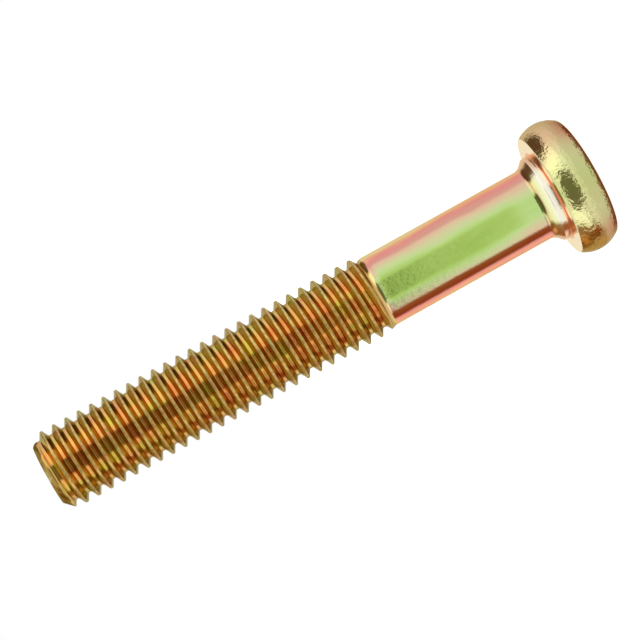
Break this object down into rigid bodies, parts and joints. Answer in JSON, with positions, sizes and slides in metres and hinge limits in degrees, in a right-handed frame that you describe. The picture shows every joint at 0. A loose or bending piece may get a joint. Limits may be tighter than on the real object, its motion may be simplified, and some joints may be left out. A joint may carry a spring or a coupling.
{
  "type": "button head socket screw",
  "caption": "Button head socket screw with a barrel-sided head, a collar, a plain shank and a rolled thread, plated in yellow zinc.",
  "frame": {"origin": "centre of the head's flat end face, on which the screw stands", "axes": "+Z along the screw's axis, from the head's end face to the tip of the thread; the socket has two corners on the X axis"},
  "size_m": [0.0102, 0.0102, 0.044],
  "materials": {
    "plated_steel": "steel with yellow zinc plating: a clear chromate film with gold, pink and green interference colours, dull and pitted on the forged head and bright on the rolled thread"
  },
  "bodies": {
    "root": {"button_head_screw": "plated_steel"}
  },
  "joints": []
}
